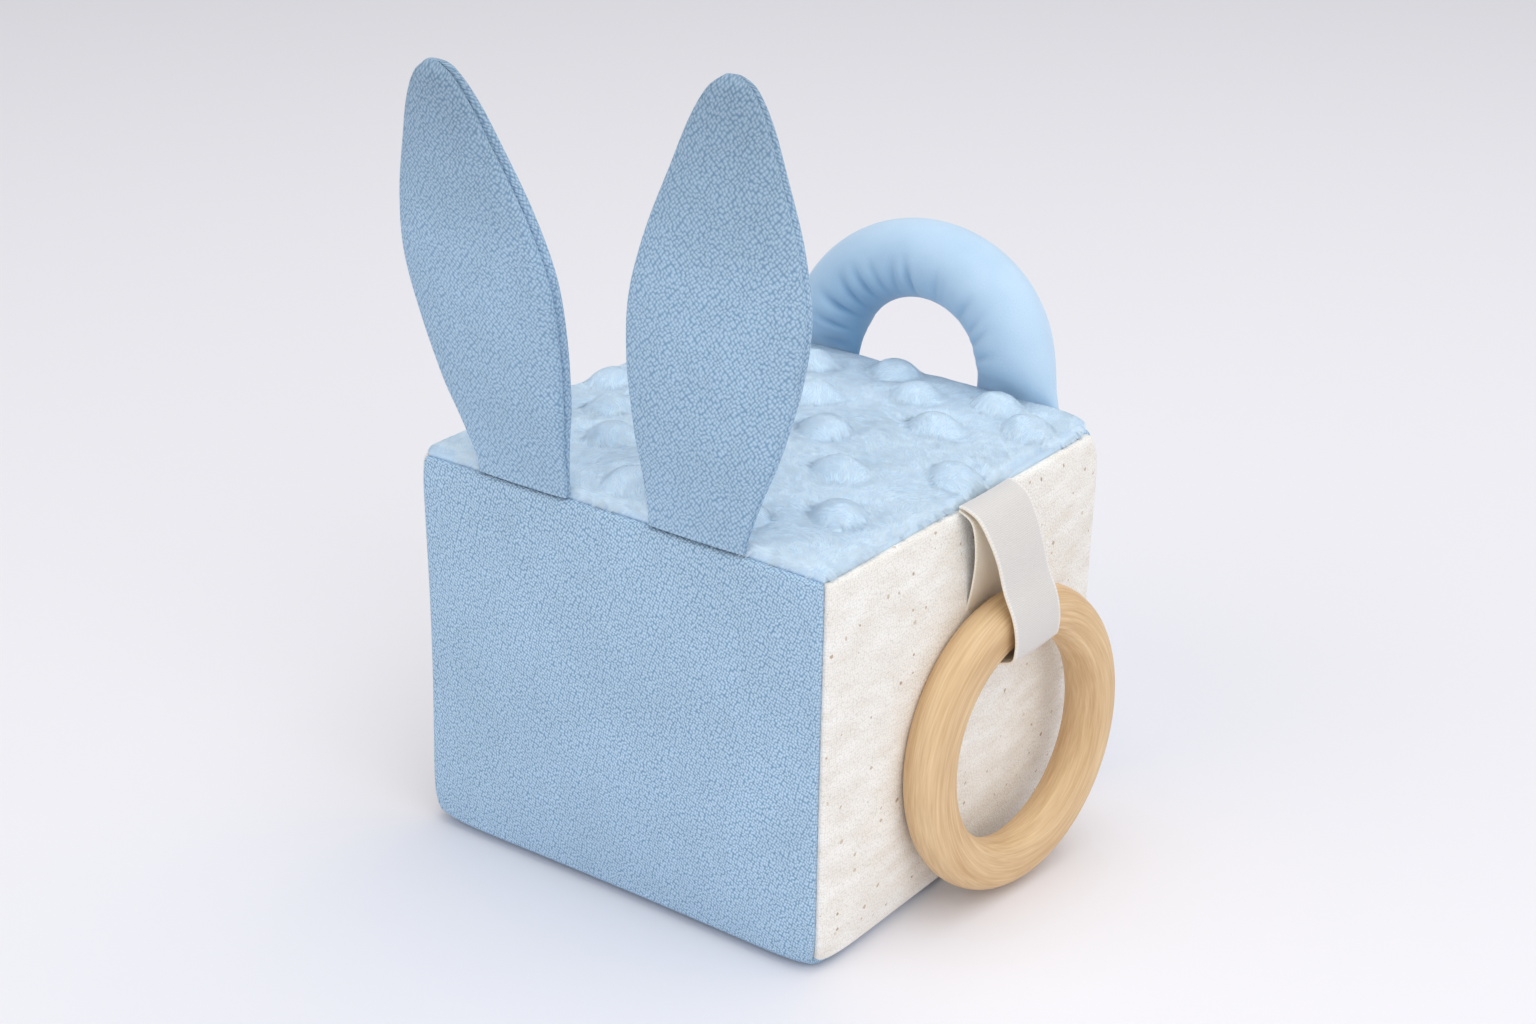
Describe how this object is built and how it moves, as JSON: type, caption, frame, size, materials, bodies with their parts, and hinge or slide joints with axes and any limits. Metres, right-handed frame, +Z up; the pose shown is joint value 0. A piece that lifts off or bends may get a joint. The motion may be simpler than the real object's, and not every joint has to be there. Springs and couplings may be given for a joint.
{
  "type": "soft fabric block",
  "caption": "Soft fabric play block with long upright ears, a dotted plush top, a stuffed grab handle and a wooden ring on a ribbon loop.",
  "frame": {"origin": "middle of the flat face that the block rests on", "axes": "+Z up, +Y from the front face with the ears to the back with the handle, +X towards the side with the ring"},
  "size_m": [0.1187, 0.133, 0.1771],
  "materials": {
    "foam": "open-cell foam",
    "blue_knit": "pebbled knit",
    "cream_cloth": "flecked cotton",
    "dimple_plush": "short brushed pile",
    "handle_plush": "smooth plush",
    "wadding": "loose polyester",
    "felt": "pressed felt",
    "satin_ribbon": "ribbed satin",
    "pale_wood": "sanded and oiled"
  },
  "bodies": {
    "block": {"foam_core": "foam", "front_panel": "blue_knit", "back_panel": "blue_knit", "left_panel": "cream_cloth", "right_panel": "cream_cloth", "bottom_panel": "blue_knit", "top_panel": "dimple_plush"},
    "left_ear": {"left_ear_front": "blue_knit", "left_ear_back": "blue_knit", "left_ear_stiffener": "felt", "left_ear_front_wadding": "wadding", "left_ear_back_wadding": "wadding"},
    "right_ear": {"right_ear_front": "blue_knit", "right_ear_back": "blue_knit", "right_ear_stiffener": "felt", "right_ear_front_wadding": "wadding", "right_ear_back_wadding": "wadding"},
    "handle": {"handle_sleeve": "handle_plush", "handle_stuffing": "wadding"},
    "ribbon": {"ribbon": "satin_ribbon"},
    "ring": {"wooden_ring": "pale_wood"}
  },
  "joints": [
    {"name": "left_ear_fold", "type": "hinge", "parent": "block", "child": "left_ear", "pos_m": [-0.0234, -0.04975, 0.08763], "axis": [1, 0, 0], "range_deg": [-50, 130], "stiffness_Nm_per_rad": 0.01},
    {"name": "right_ear_fold", "type": "hinge", "parent": "block", "child": "right_ear", "pos_m": [0.02, -0.04971, 0.08764], "axis": [1, 0, 0], "range_deg": [-50, 130], "stiffness_Nm_per_rad": 0.01},
    {"name": "handle_fold", "type": "hinge", "parent": "block", "child": "handle", "pos_m": [0.004, 0.0508, 0.0869], "axis": [1, 0, 0], "range_deg": [-115, 10], "stiffness_Nm_per_rad": 0.02},
    {"name": "ribbon_lift", "type": "hinge", "parent": "block", "child": "ribbon", "pos_m": [0.0507, 0.0032, 0.0854], "axis": [0, -1, 0], "range_deg": [0, 140]},
    {"name": "ring_turn", "type": "hinge", "parent": "ribbon", "child": "ring", "pos_m": [0.05954, 0.0048, 0.0334], "axis": [0.9953, -0.0871, 0.0419], "continuous": true}
  ]
}
